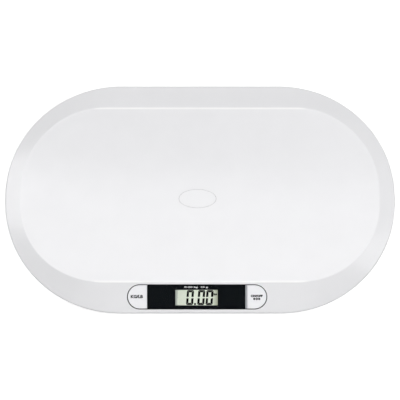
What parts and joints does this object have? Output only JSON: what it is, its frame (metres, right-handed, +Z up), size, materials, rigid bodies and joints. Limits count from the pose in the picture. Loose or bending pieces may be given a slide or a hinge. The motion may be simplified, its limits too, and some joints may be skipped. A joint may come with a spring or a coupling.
{
  "type": "digital baby weighing scale",
  "caption": "Low oval baby scale: shallow curved tray with a sloping band all round, front panel with a display between two keys, base on sprung feet.",
  "frame": {"origin": "on the floor, under the middle of the tray", "axes": "+X along the tray to the power key's end, +Y away from the control panel, +Z up"},
  "size_m": [0.55, 0.334, 0.0495],
  "materials": {
    "white_gloss": "gloss",
    "white_satin": "satin",
    "key_white": "gloss",
    "gasket_rubber": "matte",
    "clear_lens": "polished",
    "black_print": "matte",
    "lcd": "matte front film",
    "frame_white": "matte",
    "strip_rubber": "matte",
    "board_green": "satin",
    "chip_black": "matte",
    "socket_ivory": "matte",
    "switch_black": "matte",
    "plunger_ivory": "matte",
    "screw_steel": "zinc plated",
    "cell_steel": "nickel plated",
    "seal_silicone": "satin",
    "holder_grey": "matte",
    "foot_white": "satin",
    "pad_rubber": "matte",
    "lead_sheath": "satin",
    "battery_jacket": "satin print",
    "contact_nickel": "nickel plated"
  },
  "bodies": {
    "case": {"tray_shell": "white_gloss", "base_shell": "white_satin", "badge_plate": "white_gloss", "case_screws": "screw_steel", "display_lens": "clear_lens", "lens_mask": "black_print", "lens_tape": "black_print", "lcd_glass": "lcd", "lcd_frame": "frame_white", "lcd_strip": "strip_rubber", "main_board": "board_green", "board_chips": "chip_black", "board_sockets": "socket_ivory", "board_screws": "screw_steel", "panel_gasket": "gasket_rubber", "unit_switch": "switch_black", "power_switch": "switch_black", "load_cell_front_left": "cell_steel", "load_cell_rear_left": "cell_steel", "load_cell_front_right": "cell_steel", "load_cell_rear_right": "cell_steel", "gauge_seal_front_left": "seal_silicone", "gauge_seal_rear_left": "seal_silicone", "gauge_seal_front_right": "seal_silicone", "gauge_seal_rear_right": "seal_silicone", "load_cell_holder_front_left": "holder_grey", "load_cell_holder_rear_left": "holder_grey", "load_cell_holder_front_right": "holder_grey", "load_cell_holder_rear_right": "holder_grey", "cell_lead_front_left": "lead_sheath", "cell_lead_rear_left": "lead_sheath", "cell_lead_front_right": "lead_sheath", "cell_lead_rear_right": "lead_sheath", "holder_screws": "screw_steel", "flat_contacts": "contact_nickel", "leaf_contacts": "contact_nickel", "battery_leads": "lead_sheath", "battery_1": "battery_jacket", "battery_2": "battery_jacket", "battery_3": "battery_jacket", "battery_4": "battery_jacket"},
    "unit_key": {"unit_key": "key_white"},
    "power_key": {"power_key": "key_white"},
    "unit_plunger": {"unit_switch_plunger": "plunger_ivory"},
    "power_plunger": {"power_switch_plunger": "plunger_ivory"},
    "battery_door": {"battery_door": "white_satin"},
    "foot_front_left": {"foot_cup_front_left": "foot_white", "foot_pad_front_left": "pad_rubber"},
    "foot_rear_left": {"foot_cup_rear_left": "foot_white", "foot_pad_rear_left": "pad_rubber"},
    "foot_front_right": {"foot_cup_front_right": "foot_white", "foot_pad_front_right": "pad_rubber"},
    "foot_rear_right": {"foot_cup_rear_right": "foot_white", "foot_pad_rear_right": "pad_rubber"}
  },
  "joints": [
    {"name": "unit_key_press", "type": "slide", "parent": "case", "child": "unit_key", "axis": [0, 0.4454, -0.8953], "range_m": [0, 0.0005], "stiffness_N_per_m": 2000, "springref_m": -0.0002},
    {"name": "unit_plunger_press", "type": "slide", "parent": "case", "child": "unit_plunger", "axis": [0, 0.4454, -0.8953], "range_m": [0, 0.0005]},
    {"name": "power_key_press", "type": "slide", "parent": "case", "child": "power_key", "axis": [0, 0.4454, -0.8953], "range_m": [0, 0.0005], "stiffness_N_per_m": 2000, "springref_m": -0.0002},
    {"name": "power_plunger_press", "type": "slide", "parent": "case", "child": "power_plunger", "axis": [0, 0.4454, -0.8953], "range_m": [0, 0.0005]},
    {"name": "battery_door_swing", "type": "hinge", "parent": "case", "child": "battery_door", "pos_m": [0, 0.0228, 0.0085], "axis": [1, 0, 0], "range_deg": [0, 60]},
    {"name": "foot_rise_front_left", "type": "slide", "parent": "case", "child": "foot_front_left", "axis": [0, 0, 1], "range_m": [0, 0.0005], "stiffness_N_per_m": 12000, "springref_m": -0.0004, "deforming": ["load_cell_front_left"]},
    {"name": "foot_rise_rear_left", "type": "slide", "parent": "case", "child": "foot_rear_left", "axis": [0, 0, 1], "range_m": [0, 0.0005], "stiffness_N_per_m": 12000, "springref_m": -0.0004, "deforming": ["load_cell_rear_left"]},
    {"name": "foot_rise_front_right", "type": "slide", "parent": "case", "child": "foot_front_right", "axis": [0, 0, 1], "range_m": [0, 0.0005], "stiffness_N_per_m": 12000, "springref_m": -0.0004, "deforming": ["load_cell_front_right"]},
    {"name": "foot_rise_rear_right", "type": "slide", "parent": "case", "child": "foot_rear_right", "axis": [0, 0, 1], "range_m": [0, 0.0005], "stiffness_N_per_m": 12000, "springref_m": -0.0004, "deforming": ["load_cell_rear_right"]}
  ],
  "couplings": [
    {"joint": "unit_plunger_press", "follows": "unit_key_press", "ratio": 1},
    {"joint": "power_plunger_press", "follows": "power_key_press", "ratio": 1}
  ]
}
